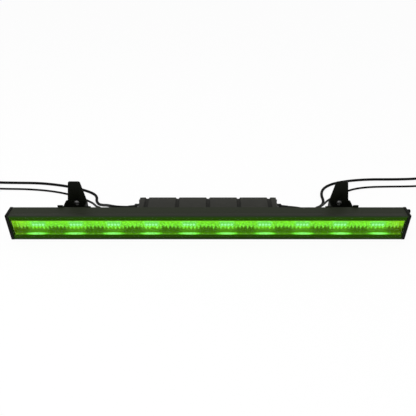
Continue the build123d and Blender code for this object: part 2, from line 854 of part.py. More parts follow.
power_plug_body = 9.0
power_plug_ring = 11.0
data_plug_body = 7.0
data_plug_ring = 8.5
plug_sleeve_wall = 0.8
plug_tail = 14.0
plug_step = 2.2
body_share = 4.0  # body length as a share of its radius
ring_start = 1.9
ring_share = 1.8
for name, route, diameter in leads:
    thick = diameter == power_lead
    body = power_plug_body if thick else data_plug_body
    ring = power_plug_ring if thick else data_plug_ring
    end = Vector(*route[-1])
    heading = end - Vector(*route[-2])
    heading = Vector(heading.X, heading.Y, 0).normalized()
    with BuildPart() as plug:
        with BuildSketch(Plane(end, z_dir=heading)):
            Circle(diameter / 2 + plug_sleeve_wall)
        with BuildSketch(Plane(end + heading * plug_tail, z_dir=heading)):
            Circle(body - plug_step)
        loft()
        with BuildSketch(Plane(end + heading * plug_tail, z_dir=heading)):
            Circle(body)
        extrude(amount=body * body_share)
        with BuildSketch(Plane(end + heading * (plug_tail + body * ring_start), z_dir=heading)):
            Circle(ring)
            Circle(body + fit, mode=Mode.SUBTRACT)
        extrude(amount=body * ring_share)
    save(plug, f"{name}_plug")

print("nodes", len(os.listdir("parts")))
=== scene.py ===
# %% Load the frame
import math

import bpy
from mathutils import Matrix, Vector


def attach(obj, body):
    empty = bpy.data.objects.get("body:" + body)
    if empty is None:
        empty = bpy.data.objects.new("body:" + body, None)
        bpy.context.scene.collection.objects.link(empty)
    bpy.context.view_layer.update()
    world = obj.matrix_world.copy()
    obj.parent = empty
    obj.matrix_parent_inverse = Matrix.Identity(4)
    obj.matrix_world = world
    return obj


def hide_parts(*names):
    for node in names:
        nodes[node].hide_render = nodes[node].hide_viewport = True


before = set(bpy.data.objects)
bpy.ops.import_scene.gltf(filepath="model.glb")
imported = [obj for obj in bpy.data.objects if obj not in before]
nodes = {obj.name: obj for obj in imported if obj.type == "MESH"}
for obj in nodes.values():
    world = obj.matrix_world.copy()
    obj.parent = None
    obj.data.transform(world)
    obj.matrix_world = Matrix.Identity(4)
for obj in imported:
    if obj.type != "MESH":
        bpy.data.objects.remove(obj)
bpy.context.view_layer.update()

MM = 0.001

# %% [markdown]
# # A light bar, built as a maker would
# This notebook dresses a one-metre LED wash light. The CAD model gives every piece its place, so
# nothing here has to be fitted by eye. We set up the view first, then lay the four leads, then make
# the finishes, and last model the pieces that deserve more detail than a CAD solid has.

# %% [markdown]
# ## The camera
# The light stands on a table and is seen from the front and a little above, close enough that its
# far edges draw together. A 39 mm lens on a 36 mm sensor gives that mild perspective. The camera
# could track an empty, but two numbers, its place and its downward tilt, say everything here.

# %% Camera
camera_tilt = 34.2  # degrees below the horizon
bpy.ops.object.camera_add(
    location=(0.0, -0.9472, 0.7122), rotation=(math.radians(90.0 - camera_tilt), 0.0, 0.0)
)
camera = bpy.context.object
camera.name = "view_camera"
camera.data.lens = 39.0
camera.data.sensor_width = 36.0
camera.data.clip_start = 0.01
bpy.context.scene.camera = camera
bpy.context.scene.view_settings.view_transform = "Standard"
print("camera looks down", camera_tilt, "degrees")

# %% [markdown]
# ## The leads
# Two rubber leads leave each half of the bar: a thick one for mains power and a thin one for
# control data. Each route is a list of points from the gland to the connector. Most of it lies on
# the table, so a point that gives no height is half a lead's thickness up.

# %% Lead routes, in millimetres
power_lead, data_lead = 8.0, 6.0
sketched_routes = {
    "left_power": [
        (-207, 21, 56.5), (-232, 22.5, 55.5), (-256, 38, 49), (-274, 67, 32), (-292, 94, 14),
        (-309, 113), (-319, 130), (-321, 149), (-332, 167), (-357, 184), (-394, 201),
        (-446, 217.5), (-511, 229.5), (-575, 231), (-636, 232.5), (-668, 233, 7.5),
        (-700, 233, 11),
    ],
    "left_data": [
        (-278, 19, 46), (-282, 36, 44.5), (-301, 59, 33), (-316, 93, 19), (-337, 122, 8),
        (-361, 145), (-394, 161.5), (-436, 178), (-487, 190), (-548, 197), (-610, 198),
        (-650, 198.5, 5), (-678, 198, 8.5),
    ],
    "right_power": [
        (207, 21, 56.5), (232, 22.5, 53.5), (256, 35, 39), (284, 62, 20), (309, 92, 8),
        (325, 114), (331, 134), (330, 159), (338, 188), (356, 211), (386, 229.5),
        (436, 244.5), (498, 252), (560, 251.5), (630, 254), (662, 254.5, 7.5),
        (694, 254, 11),
    ],
    "right_data": [
        (278, 19, 46), (282, 36, 44.5), (305, 61, 33), (323, 96, 17), (339, 125, 8),
        (359, 149), (391, 172), (432, 197), (481, 208.5), (545, 211), (607, 212),
        (648, 213, 5), (676, 213, 8.5),
    ],
}
diameters = {name: power_lead if "power" in name else data_lead for name in sketched_routes}
routes = {
    name: [point if len(point) == 3 else (*point, diameters[name] / 2) for point in points]
    for name, points in sketched_routes.items()
}
print("routes:", {name: len(points) for name, points in routes.items()})

# %% [markdown]
# A lead never turns a sharp corner, so each is one smooth NURBS curve through its points, with a
# round bevel for its sheath. The order and the end-point setting come after the points, because
# Blender resets them while the spline is still short.


# %% Lay the leads
def lay_lead(name, points, diameter):
    """Make one smooth round lead through its control points."""
    curve = bpy.data.curves.new(name, "CURVE")
    curve.dimensions = "3D"
    spline = curve.splines.new("NURBS")
    spline.points.add(len(points) - 1)
    for knot, place in zip(spline.points, points):
        knot.co = (*[value * MM for value in place], 1.0)
    spline.order_u = 3
    spline.use_endpoint_u = True
    curve.resolution_u = 10
    curve.bevel_depth = diameter / 2 * MM
    curve.bevel_resolution = 5
    curve.use_fill_caps = True
    lead = bpy.data.objects.new(name, curve)
    bpy.context.scene.collection.objects.link(lead)
    return lead


leads = {}
for name, points in routes.items():
    leads[name] = lay_lead(f"{name}_sheath", points, diameters[name])

# %% [markdown]
# ## Selecting, placing and putting to rest
# Operators act on whatever is selected, and loading the CAD model leaves all of it selected. So
# every step starts from an empty selection. A finished piece keeps its place in its mesh, with its
# object at the origin, so that patterns measured from the object's own axes sit still.


# %% Small helpers for pieces
def only(piece):
    """Select one piece and nothing else."""
    bpy.ops.object.select_all(action="DESELECT")
    piece.select_set(True)
    bpy.context.view_layer.objects.active = piece


def rest(piece):
    """Write a piece's place and turn into its mesh."""
    only(piece)
    bpy.ops.object.transform_apply(location=True, rotation=True, scale=True)
    return piece


def finish_piece(piece, name, body, stands_for, materials):
    """Name a piece, give it its finish, its body and the CAD nodes that it stands for."""
    piece.name = name
    piece.data.name = name
    if materials:
        piece.data.materials.clear()
        for material in materials:
            piece.data.materials.append(material)
    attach(piece, body)
    if stands_for:
        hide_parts(*stands_for)
    return piece


def twin_of(pattern):
    """A copy of a piece, with a mesh of its own."""
    twin = bpy.data.objects.new(pattern.name, pattern.data.copy())
    bpy.context.scene.collection.objects.link(twin)
    return twin


def merge(pieces):
    """Join several mesh pieces into the first one."""
    bpy.ops.object.select_all(action="DESELECT")
    for piece in pieces:
        piece.select_set(True)
    bpy.context.view_layer.objects.active = pieces[0]
    bpy.ops.object.join()
    return pieces[0]


# %% [markdown]
# ## Colours and shader nodes
# Colours are written as the sRGB hex values a designer would pick, and one function turns them
# into the linear values a renderer adds up. One more function adds a node, sets it and links it,
# which keeps each material short enough to read as a recipe.


# %% Colour and node helpers
def linear(hex_colour):
    """Turn an sRGB hex value into linear colour."""
    channels = [int(hex_colour[start : start + 2], 16) / 255 for start in (1, 3, 5)]
    straight = [c / 12.92 if c <= 0.04045 else ((c + 0.055) / 1.055) ** 2.4 for c in channels]
    return (*straight, 1.0)


def put(tree, kind, inputs=None, stops=None, **settings):
    """Add a node with its settings, its ramp's stops, and numbers or links on its inputs."""
    new = tree.nodes.new("ShaderNode" + kind)
    for key, value in settings.items():
        setattr(new, key, value)
    if stops:
        ramp = new.color_ramp.elements
        while len(ramp) < len(stops):
            ramp.new(0.5)
        for element, (place, colour) in zip(ramp, stops):
            element.position = place
            element.color = linear(colour)
    for key, value in (inputs or {}).items():
        if isinstance(value, bpy.types.NodeSocket):
            tree.links.new(value, new.inputs[key])
        elif isinstance(value, bpy.types.Node):
            tree.links.new(value.outputs[0], new.inputs[key])
        else:
            new.inputs[key].default_value = value
    return new


def new_material(name):
    """An empty material and its node tree."""
    material = bpy.data.materials.new(name)
    material.use_nodes = True
    material.node_tree.nodes.clear()
    return material, material.node_tree


print("mid grey, linear:", [round(value, 3) for value in linear("#808080")])

# %% [markdown]
# ## The studio
# A plain white floor and a white sky, the way a catalogue shows its goods. Rays that the camera, a
# gloss or a clear piece sends out see full white, and the floor keeps a faint soft shadow.


# %% Sky
def seen_clearly(tree):
    """1 for a ray from the camera, a gloss or a clear piece, and 0 for all other light."""
    ray = put(tree, "LightPath")
    seen = put(
        tree, "Math", {0: ray.outputs["Is Camera Ray"], 1: ray.outputs["Is Glossy Ray"]},
        operation="MAXIMUM",
    )
    return put(tree, "Math", {0: seen, 1: ray.outputs["Is Transmission Ray"]}, operation="MAXIMUM")


world = bpy.data.worlds.new("white_studio")
bpy.context.scene.world = world
world.use_nodes = True
sky = world.node_tree
sky.nodes.clear()
strength = put(sky, "MapRange", {"Value": seen_clearly(sky), "To Min": 0.75, "To Max": 1.0})
back = put(sky, "Background", {"Color": linear("#ffffff"), "Strength": strength})
put(sky, "OutputWorld", {"Surface": back})
print("sky nodes:", len(sky.nodes))

# %% [markdown]
# The floor is a large sheet of matt paper, a fifth of a millimetre below everything that stands on
# it. Nine tenths of what the camera sees of it is its own glow, so that it stays white.

# %% Floor
bpy.ops.mesh.primitive_plane_add(size=30.0, location=(0.0, 0.0, -0.0002))
floor = rest(bpy.context.object)
floor.name = "studio_floor"
paper, tree = new_material("matt_white_paper")
share = put(tree, "Math", {0: seen_clearly(tree), 1: 0.9}, operation="MULTIPLY")
matt = put(tree, "BsdfDiffuse", {"Color": linear("#fafafa")})
white = put(tree, "Emission", {"Color": linear("#ffffff"), "Strength": 1.0})
mixed = put(tree, "MixShader", {0: share, 1: matt, 2: white})
put(tree, "OutputMaterial", {"Surface": mixed})
floor.data.materials.append(paper)
print("floor size:", [round(value, 1) for value in floor.dimensions])

# %% [markdown]
# One broad lamp above and a little to the left gives edges and domes their soft highlight.

# %% Lamp
bpy.ops.object.light_add(type="AREA", location=(-0.5, -0.7, 2.0))
lamp = bpy.context.object
lamp.name = "broad_lamp"
lamp.data.shape = "DISK"
lamp.data.size = 1.6
lamp.data.energy = 16.0
lamp.rotation_euler = (-lamp.location).to_track_quat("-Z", "Y").to_euler()
print("lamp energy", lamp.data.energy)

# %% [markdown]
# ## Dark anodised aluminium
# The housing and the glass rails are extruded aluminium, dyed dark grey while it is anodised. The
# die leaves fine lines along the whole length, drawn here about a millimetre apart so that they
# show. The dyed layer is half clear, so only a third of it shades as metal, and a roughness of 0.6
# blurs the white room to a dull satin.

# %% Anodised aluminium
# nearly all of a noise texture's values lie in this span
noise_span = {"From Min": 0.3, "From Max": 0.7}


def anodised_aluminium(name, colour, roughness):
    """Extruded and dyed aluminium with die lines along X."""
    material, tree = new_material(name)
    place = put(tree, "TexCoord").outputs["Object"]
    along = put(tree, "Mapping", {"Vector": place, "Scale": (3.0, 900.0, 900.0)})
    lines = put(tree, "TexNoise", {"Vector": along, "Scale": 1.0, "Detail": 3.0, "Roughness": 0.6})
    value = put(tree, "MapRange", {"Value": lines, **noise_span, "To Min": 0.82, "To Max": 1.18})
    shade = put(tree, "HueSaturation", {"Color": linear(colour), "Value": value})
    low, high = roughness - 0.06, roughness + 0.06
    rough = put(tree, "MapRange", {"Value": lines, **noise_span, "To Min": low, "To Max": high})
    bump = put(tree, "Bump", {"Height": lines, "Strength": 0.12, "Distance": 0.0002})
    shader = put(tree, "BsdfPrincipled", {
        "Base Color": shade, "Metallic": 0.35, "Roughness": rough,
        "Specular IOR Level": 0.1, "Normal": bump,
    })
    put(tree, "OutputMaterial", {"Surface": shader})
    return material


anodised = anodised_aluminium("anodised_aluminium_extruded", "#262a1f", 0.6)
anodised_rail = anodised_aluminium("anodised_aluminium_rail", "#272a21", 0.62)
print("anodised finishes:", anodised.name, anodised_rail.name)

# %% [markdown]
# ## Paint and cast metal
# The end caps and the power supply are cast and painted; the brackets and arms are sheet steel
# with a black powder coat. Cast paint shows a soft orange-peel of about two millimetres, powder
# coat a finer grain of about half a millimetre. Both are matt, so the room hardly shows in them.
# The grooves of the supply get a darker paint, as painted shade where they would fall into shadow.


# %% Painted and coated metal
def per_metre(size_mm):
    """The texture scale that gives grains of a size in millimetres."""
    return 1 / (size_mm * MM)


def coated_metal(name, colour, grain_mm, bump_mm, roughness, gloss):
    """Paint or powder over metal: its grain and bump in millimetres, its gloss from 0 to 0.5."""
    material, tree = new_material(name)
    place = put(tree, "TexCoord").outputs["Object"]
    grain = put(tree, "TexNoise", {"Vector": place, "Scale": per_metre(grain_mm), "Detail": 2.0})
    patches = {"Vector": place, "Scale": per_metre(40.0), "Detail": 4.0, "Roughness": 0.6}
    wear = put(tree, "TexNoise", patches)
    value = put(tree, "MapRange", {"Value": wear, **noise_span, "To Min": 0.85, "To Max": 1.15})
    shade = put(tree, "HueSaturation", {"Color": linear(colour), "Value": value})
    bump = put(tree, "Bump", {"Height": grain, "Strength": 0.5, "Distance": bump_mm * MM})
    low, high = roughness - 0.05, roughness + 0.05
    rough = put(tree, "MapRange", {"Value": wear, **noise_span, "To Min": low, "To Max": high})
    shader = put(tree, "BsdfPrincipled", {
        "Base Color": shade, "Roughness": rough, "Specular IOR Level": gloss, "Normal": bump,
    })
    put(tree, "OutputMaterial", {"Surface": shader})
    return material


cap_paint = coated_metal("satin_paint_on_cast_cap", "#10120c", 2.0, 0.08, 0.5, 0.06)
# painted shade: a darker paint that stands for the shadow in the supply's cross grooves
groove_shade_paint = coated_metal("supply_paint_with_painted_groove_shade", "#1f1f1c", 2.0, 0.08, 0.6, 0.08)
supply_paint = coated_metal("satin_paint_on_cast_case", "#2c2c28", 2.0, 0.08, 0.5, 0.1)
powder_black = coated_metal("black_powder_coat", "#0a0c06", 0.6, 0.05, 0.5, 0.08)
print("paints:", [paint.name for paint in (cap_paint, groove_shade_paint, supply_paint, powder_black)])

# %% [markdown]
# ## Screws, nylon and rubber
# The pivot bolts have a dull nickel plate, the other screws a black zinc one. Glands and connectors
# are moulded nylon, and the leads have a soft rubber sheath with a dull sheen.


# %% Screws and small plastics
def plated_screw(name, colour, roughness):
    """Plated steel, lightly uneven."""
    material, tree = new_material(name)
    place = put(tree, "TexCoord").outputs["Object"]
    haze = put(tree, "TexNoise", {"Vector": place, "Scale": 900.0, "Detail": 2.0})
    low, high = roughness - 0.1, roughness + 0.1
    rough = put(tree, "MapRange", {"Value": haze, "To Min": low, "To Max": high})
    shade = put(tree, "ValToRGB", {"Fac": haze}, stops=[(0.2, colour[0]), (0.8, colour[1])])
    shader = put(tree, "BsdfPrincipled", {"Base Color": shade, "Metallic": 1.0, "Roughness": rough})
    put(tree, "OutputMaterial", {"Surface": shader})
    return material


nickel = plated_screw("dark_nickel_plate", ("#505050", "#646462"), 0.45)
black_zinc = plated_screw("black_zinc_plate", ("#242424", "#303030"), 0.4)
moulded_nylon = coated_metal("moulded_black_nylon", "#0e0f0c", 0.5, 0.03, 0.55, 0.12)
plug_nylon = coated_metal("moulded_connector_nylon", "#121310", 0.5, 0.03, 0.5, 0.15)
rubber_sheath = coated_metal("black_rubber_sheath", "#080807", 2.0, 0.01, 0.5, 0.05)
seal_rubber = coated_metal("silicone_rubber_seal", "#161716", 0.8, 0.02, 0.7, 0.1)
board_mask = coated_metal("white_solder_mask", "#dfe4dc", 3.0, 0.01, 0.4, 0.4)
coil_tape = coated_metal("yellow_coil_tape", "#b98f2a", 1.5, 0.02, 0.4, 0.4)
can_sleeve = coated_metal("capacitor_sleeve", "#3c4650", 2.0, 0.01, 0.3, 0.5)
print("materials so far:", len(bpy.data.materials))

# %% [markdown]
# ## Light inside the trough
# Ten LED modules light a bright rolled trough. Tracing all that light through glass would be slow
# and noisy, so each inner surface carries the glow that it would receive, set by its distance in
# millimetres from the nearest module and by its height or depth. The pattern repeats every module.
# The edges of the pattern are broken up by fine teeth, as a fluted lens film does.

# %% Distances in the trough
module_pitch = 96.6
window_floor = 13.6  # height of the trough's floor
trough_front, trough_rear = -35.8, -13.8
falling = {"To Min": 1.0, "To Max": 0.0}  # for what fades out


def from_module(tree, place_x):
    """Distance along the bar to the middle of the nearest module, in millimetres."""
    turns = put(tree, "Math", {0: place_x, 1: module_pitch * MM}, operation="DIVIDE")
    part = put(tree, "Math", {0: turns}, operation="FRACT")
    away = put(tree, "Math", {0: part, 1: 0.5}, operation="SUBTRACT")
    size = put(tree, "Math", {0: away}, operation="ABSOLUTE")
    return put(tree, "Math", {0: size, 1: module_pitch}, operation="MULTIPLY")


def teeth(tree, place_x, pitch):
    """A triangle wave along the bar, from 0 to a half, with its pitch in millimetres."""
    turns = put(tree, "Math", {0: place_x, 1: pitch * MM}, operation="DIVIDE")
    return put(tree, "Math", {0: turns, 1: 0.5, 2: 0.0}, operation="PINGPONG")


# %% [markdown]
# ### Light on the back wall
# The wall is bright above and dark below. Teeth of uneven length hang from the bright band: each
# is a shift of the height, which fades out before it can reach the band's straight upper edge. At
# a module the band is paler and reaches further down.


# %% Back wall
def wall_light(tree, xyz, away, near):
    """The colour of the light on the trough's back wall."""
    ragged = put(tree, "CombineXYZ", {0: xyz.outputs["X"]})
    # another length about every 9 mm
    ragged = put(tree, "TexNoise", {"Vector": ragged, "Scale": 110.0, "Detail": 1.0})
    tooth_pitch, shortest, longest = 9.7, 5.0, 26.0
    lengths = {"To Min": shortest * MM, "To Max": longest * MM}
    length = put(tree, "MapRange", {"Value": ragged, **noise_span, **lengths})
    wave = teeth(tree, xyz.outputs["X"], tooth_pitch)
    tooth = put(tree, "Math", {0: wave, 1: length}, operation="MULTIPLY")
    fading = {"From Min": (window_floor + 15.0) * MM, "From Max": (window_floor + 22.0) * MM}
    lower = put(tree, "MapRange", {"Value": xyz.outputs["Z"], **fading, **falling})
    tooth = put(tree, "Math", {0: tooth, 1: lower}, operation="MULTIPLY")
    toothed = put(tree, "Math", {0: xyz.outputs["Z"], 1: tooth}, operation="ADD")
    whole = {"From Min": (window_floor + 3.6) * MM, "From Max": (window_floor + 33.6) * MM}
    height = put(tree, "MapRange", {"Value": toothed, **whole})
    beside = put(tree, "ValToRGB", {"Fac": height}, stops=[
        (0.0, "#3c6d0d"), (0.13, "#447609"), (0.20, "#548d18"), (0.27, "#6cc42c"),
        (0.34, "#77e340"), (0.62, "#7de62d"), (0.7, "#7de62d"), (0.765, "#427c14"),
        (0.81, "#203606"),
    ])
    at_module = put(tree, "ValToRGB", {"Fac": height}, stops=[
        (0.0, "#509118"), (0.09, "#66b81c"), (0.19, "#7ce021"), (0.30, "#8af25b"),
        (0.41, "#7cee58"), (0.62, "#86f066"), (0.7, "#7ded3a"), (0.765, "#427c14"),
        (0.81, "#203606"),
    ])
    close = {"Value": away, "From Min": 14.0, "From Max": 24.0, **falling}
    tight = put(tree, "MapRange", close, interpolation_type="SMOOTHSTEP")
    low = put(tree, "Math", {0: height, 1: 0.26}, operation="LESS_THAN")
    spread = put(tree, "Mix", {"Factor": low, 2: tight, 3: near})
    wall = put(tree, "Mix", {"Factor": spread, 6: beside, 7: at_module}, data_type="RGBA")
    return wall.outputs[2]


print("the back wall starts", window_floor, "mm up")

# %% [markdown]
# ### Light on the floor
# The floor is dim, a little brighter at its front edge, with an oval pool in front of each module
# and small sparks between the pools, one for every flute of the lens film. The lighter of two
# colours wins where they meet.


# %% Trough floor
def floor_light(tree, xyz, away, near):
    """The colour of the light on the trough's floor."""
    depth = {"From Min": trough_front * MM, "From Max": trough_rear * MM}
    deep = put(tree, "MapRange", {"Value": xyz.outputs["Y"], **depth})
    plain = put(tree, "ValToRGB", {"Fac": deep}, stops=[
        (0.0, "#4a8a14"), (0.2, "#4a8a14"), (0.34, "#3e6f0b"), (0.7, "#3c6a0c"), (1.0, "#3c6d0d"),
    ])
    under = put(tree, "ValToRGB", {"Fac": deep}, stops=[
        (0.0, "#4f9018"), (0.2, "#5ba01c"), (0.45, "#4b8512"), (1.0, "#509118"),
    ])
    tone = put(tree, "Mix", {"Factor": near, 6: plain, 7: under}, data_type="RGBA")

    pool_y, pool_long, pool_deep = -32.5, 22.0, 4.0
    across = put(tree, "Math", {0: away, 1: 1.0 / pool_long}, operation="MULTIPLY")
    forward = put(tree, "Math", {0: xyz.outputs["Y"], 1: -pool_y * MM}, operation="ADD")
    forward = put(tree, "Math", {0: forward, 1: 1 / (pool_deep * MM)}, operation="MULTIPLY")
    reach = put(tree, "CombineXYZ", {0: across, 1: forward})
    radius = put(tree, "VectorMath", {0: reach}, operation="LENGTH").outputs["Value"]
    radius = put(tree, "Math", {0: radius, 1: 0.4}, operation="MULTIPLY")
    pool = put(tree, "ValToRGB", {"Fac": radius}, stops=[
        (0.0, "#92fe80"), (0.26, "#90fd78"), (0.4, "#7cef40"), (0.5, "#5cc424"),
        (0.66, "#142a02"), (0.8, "#000000"),
    ])
    lighter = {"data_type": "RGBA", "blend_type": "LIGHTEN"}
    ground = put(tree, "Mix", {"Factor": 1.0, 6: tone.outputs[2], 7: pool}, **lighter)

    spark_pitch, spark_long = 13.9, 2.4
    wave = teeth(tree, xyz.outputs["X"], spark_pitch)
    step = put(tree, "Math", {0: wave, 1: spark_pitch / spark_long}, operation="MULTIPLY")
    line = put(tree, "Math", {0: forward, 1: 1.8}, operation="MULTIPLY")
    reach = put(tree, "CombineXYZ", {0: step, 1: line})
    spot = put(tree, "VectorMath", {0: reach}, operation="LENGTH").outputs["Value"]
    spark = put(tree, "ValToRGB", {"Fac": spot}, stops=[(0.35, "#78c628"), (1.0, "#000000")])
    ground = put(tree, "Mix", {"Factor": 1.0, 6: ground.outputs[2], 7: spark}, **lighter)
    return ground.outputs[2]


print("the trough is", round(trough_rear - trough_front, 1), "mm deep")

# %% [markdown]
# ### Wall and floor together
# One finish serves the whole trough: the depth says whether a point is on the wall or on the
# floor. A grain of about three millimetres over both stands for the lens film. Beyond the last
# module only stray light arrives, a little dimmer and more yellow.


# %% Lit reflector
def lit_reflector():
    """Bright rolled aluminium, seen by the light of the modules."""
    material, tree = new_material("bright_rolled_aluminium_lit")
    place = put(tree, "TexCoord").outputs["Object"]
    xyz = put(tree, "SeparateXYZ", {0: place})
    away = from_module(tree, xyz.outputs["X"])
    reach = {"Value": away, "From Min": 12.0, "From Max": 34.0, **falling}
    near = put(tree, "MapRange", reach, interpolation_type="SMOOTHSTEP")
    wall = wall_light(tree, xyz, away, near)
    ground = floor_light(tree, xyz, away, near)
    wall_starts = (trough_rear - 0.6) * MM
    is_wall = put(tree, "Math", {0: xyz.outputs["Y"], 1: wall_starts}, operation="GREATER_THAN")
    light = put(tree, "Mix", {"Factor": is_wall, 6: ground, 7: wall}, data_type="RGBA")

    film = {"Vector": place, "Scale": 330.0, "Detail": 3.0, "Roughness": 0.7}
    grain = put(tree, "TexNoise", film)
    patchy = put(tree, "MapRange", {"Value": grain, **noise_span, "To Min": 0.55, "To Max": 1.5})
    outward = put(tree, "Math", {0: xyz.outputs["X"]}, operation="ABSOLUTE")
    end_zone = {"Value": outward, "From Min": 0.455, "From Max": 0.48}
    dim = put(tree, "MapRange", {**end_zone, "To Min": 1.0, "To Max": 0.9})
    hue = put(tree, "MapRange", {**end_zone, "To Min": 0.5, "To Max": 0.482})
    patchy = put(tree, "Math", {0: patchy, 1: dim}, operation="MULTIPLY")
    lit = put(tree, "HueSaturation", {"Color": light.outputs[2], "Value": patchy, "Hue": hue})

    shader = put(tree, "BsdfPrincipled", {
        "Base Color": linear("#101408"), "Roughness": 0.5, "Specular IOR Level": 0.0,
        "Emission Color": lit, "Emission Strength": 1.0,
    })
    put(tree, "OutputMaterial", {"Surface": shader})
    return material


reflector_lit = lit_reflector()
print("nodes in the lit reflector:", len(reflector_lit.node_tree.nodes))

# %% [markdown]
# ### Lips, border and lenses
# The smaller lit surfaces need no pattern, only their share of green and a slight unevenness. The
# lenses are the brightest thing in the bar.


# %% Small lit surfaces
def glow(name, base, light, spots_mm, strength):
    """A surface that mostly shows the green light that falls on it, slightly uneven."""
    material, tree = new_material(name)
    place = put(tree, "TexCoord").outputs["Object"]
    spots = put(tree, "TexNoise", {"Vector": place, "Scale": per_metre(spots_mm), "Detail": 2.0})
    value = put(tree, "MapRange", {"Value": spots, **noise_span, "To Min": 0.9, "To Max": 1.1})
    tone = put(tree, "HueSaturation", {"Color": linear(light), "Value": value})
    shader = put(tree, "BsdfPrincipled", {
        "Base Color": linear(base), "Roughness": 0.5, "Specular IOR Level": 0.1,
        "Emission Color": tone, "Emission Strength": strength,
    })
    put(tree, "OutputMaterial", {"Surface": shader})
    return material


lip_lit = glow("anodised_lip_lit", "#060a04", "#173404", 9.0, 1.0)
print_lit = glow("ceramic_border_print_lit", "#060a04", "#264408", 9.0, 1.0)
lens_lit = glow("acrylic_lens_lit", "#20301c", "#a0ffa2", 3.0, 1.05)
holder_lit = glow("white_nylon_lens_holder_lit", "#20301c", "#72dc58", 2.0, 1.0)
print("lit surfaces:", [lit.name for lit in (lip_lit, print_lit, lens_lit, holder_lit)])

# %% [markdown]
# ## End mirrors
# Bright rolled aluminium, left as it comes from the mill, reflects about four fifths of the light,
# with a faint grain from the rolls. The green inside makes it look green, so its own colour is only
# a pale yellow.

# %% Mirror finish
end_mirror, tree = new_material("bright_rolled_aluminium")
place = put(tree, "TexCoord").outputs["Object"]
grain = put(tree, "TexNoise", {"Vector": place, "Scale": per_metre(2.5), "Detail": 2.0})
bump = put(tree, "Bump", {"Height": grain, "Strength": 0.3, "Distance": 0.0004})
shader = put(tree, "BsdfPrincipled", {
    "Base Color": linear("#e8e48c"), "Metallic": 1.0, "Roughness": 0.12, "Normal": bump,
})
put(tree, "OutputMaterial", {"Surface": shader})
print("mirror:", end_mirror.name)

# %% [markdown]
# ## Front glass
# Toughened glass with an anti-reflection coating. Plain glass mirrors four percent of a white room,
# which would wash out the dark border; the coating leaves a few tenths of a percent. So one shader
# bends the light as glass of index 1.5 does, and a second mirrors it as weakly as the coating does.
# In code, the glossy shader that mirrors it is called BsdfAnisotropic.

# %% Glass
front_clear, tree = new_material("toughened_glass_coated")
place = put(tree, "TexCoord").outputs["Object"]
ripple = put(tree, "TexNoise", {"Vector": place, "Scale": 12.0, "Detail": 1.0})
bump = put(tree, "Bump", {"Height": ripple, "Strength": 0.02, "Distance": 0.0002})
clear = {"Color": linear("#fbfffb"), "Roughness": 0.0, "IOR": 1.5, "Normal": bump}
bend = put(tree, "BsdfRefraction", clear)
coat = {"Color": linear("#ffffff"), "Roughness": 0.05, "Normal": bump}
sheen = put(tree, "BsdfAnisotropic", coat)
coating = put(tree, "Fresnel", {"IOR": 1.09})
both = put(tree, "MixShader", {0: coating, 1: bend, 2: sheen})
put(tree, "OutputMaterial", {"Surface": both})
print("glass nodes:", len(tree.nodes))

# %% [markdown]
# ## Dress the CAD nodes
# Where a CAD piece already has the right shape it stays, and only its finish changes. The names say
# what each piece is, so the table below reads like a parts list.

# %% Finishes for CAD nodes
finishes = {
    "housing": anodised,
    "top_rail": anodised_rail,
    "bottom_rail": anodised_rail,
    "front_glass": front_clear,
    "window_mask": print_lit,
    "glass_seal": seal_rubber,
    "reflector": reflector_lit,
    "led_board": board_mask,
    "led_module": holder_lit,
    "end_cap": cap_paint,
    "cap_gasket": seal_rubber,
    "cap_screws": black_zinc,
    "breather_vent": moulded_nylon,
    "driver_case": supply_paint,
    "driver_end": supply_paint,
    "driver_screws": nickel,
    "driver_foot_screws": nickel,
    "driver_board": board_mask,
    "driver_transformer": coil_tape,
    "driver_capacitors": can_sleeve,
    "bracket_screws": nickel,
    "bracket": powder_black,
    "arm": powder_black,
    "pivot_bolt": nickel,
    "pivot_nut": nickel,
    "pivot_washers": black_zinc,
    "gland": moulded_nylon,
    "plug": plug_nylon,
    "lead": rubber_sheath,
}


def finish_for(name):
    """The finish of the longest key found in a node's name."""
    keys = [key for key in finishes if key in name]
    return finishes[max(keys, key=len)]


for name, node in nodes.items():
    for place in node.material_slots:
        place.material = finish_for(name)
print("dressed", len(nodes), "nodes")

# %% [markdown]
# ## Rounded edges
# No extrusion, casting or bent sheet has a truly sharp edge, and it is the small round that catches
# the light. Each large CAD piece is copied, its loose triangles are merged, its flat faces are made
# whole again, and a bevel of a few tenths of a millimetre goes round it. Modelling these from
# nothing would give the same shapes with more chances to be wrong by a millimetre.


# %% Softened copies
def copy_node(name):
    """A free copy of a CAD node's mesh, with its triangles merged into flat faces."""
    piece = twin_of(nodes[name])
    only(piece)
    bpy.ops.object.mode_set(mode="EDIT")
    bpy.ops.mesh.select_all(action="SELECT")
    bpy.ops.mesh.customdata_custom_splitnormals_clear()
    bpy.ops.mesh.remove_doubles(threshold=0.00001)
    bpy.ops.mesh.dissolve_limited(angle_limit=math.radians(0.5))
    bpy.ops.object.mode_set(mode="OBJECT")
    return piece


def soften(piece, width_mm, segments=2):
    """Round every edge sharper than 35 degrees and shade the rest smooth."""
    only(piece)
    bevel = piece.modifiers.new("edge_round", "BEVEL")
    bevel.width = width_mm * MM
    bevel.segments = segments
    bevel.limit_method = "ANGLE"
    bevel.angle_limit = math.radians(35.0)
    bevel.use_clamp_overlap = False
    bpy.ops.object.modifier_apply(modifier=bevel.name)
    bpy.ops.object.shade_smooth_by_angle(angle=math.radians(35.0))
    return piece


print("ready to soften", nodes["housing"].name)

# %% [markdown]
# ### Choosing and cutting faces
# Faces are chosen by a test on their middle and their normal. A ring is pressed into a piece
# between two cuts, by moving its faces straight inwards.


